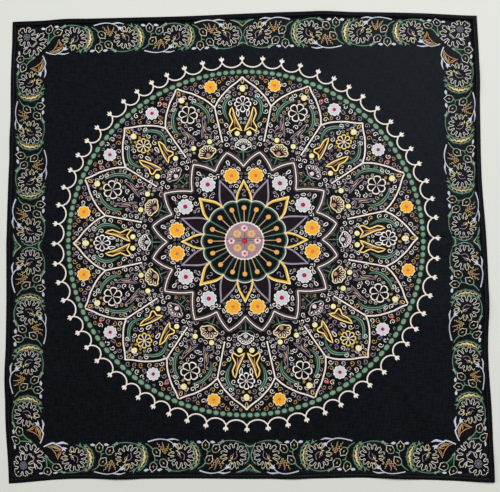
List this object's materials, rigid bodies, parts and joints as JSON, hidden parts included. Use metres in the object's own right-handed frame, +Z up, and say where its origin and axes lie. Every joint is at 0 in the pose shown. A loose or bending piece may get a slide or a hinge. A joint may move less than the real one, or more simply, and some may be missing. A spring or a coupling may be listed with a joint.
{
  "type": "printed cotton handkerchief laid flat",
  "caption": "Square printed cotton handkerchief lying flat, face up, with a narrow turned hem on every edge and soft pressing creases.",
  "frame": {"origin": "middle of the cloth's outline on the surface it rests on", "axes": "+Z up out of the printed face, +X to the cloth's right, +Y to its back edge"},
  "size_m": [0.5226, 0.5117, 0.0041],
  "materials": {
    "printed_cotton": "matt plain-weave cotton lawn, black ground with a coloured print",
    "turned_hem": "matt black cotton, turned twice and stitched"
  },
  "bodies": {
    "root": {"cloth_panel": "printed_cotton", "hem_front": "turned_hem", "hem_right": "turned_hem", "hem_back": "turned_hem", "hem_left": "turned_hem"}
  },
  "joints": []
}
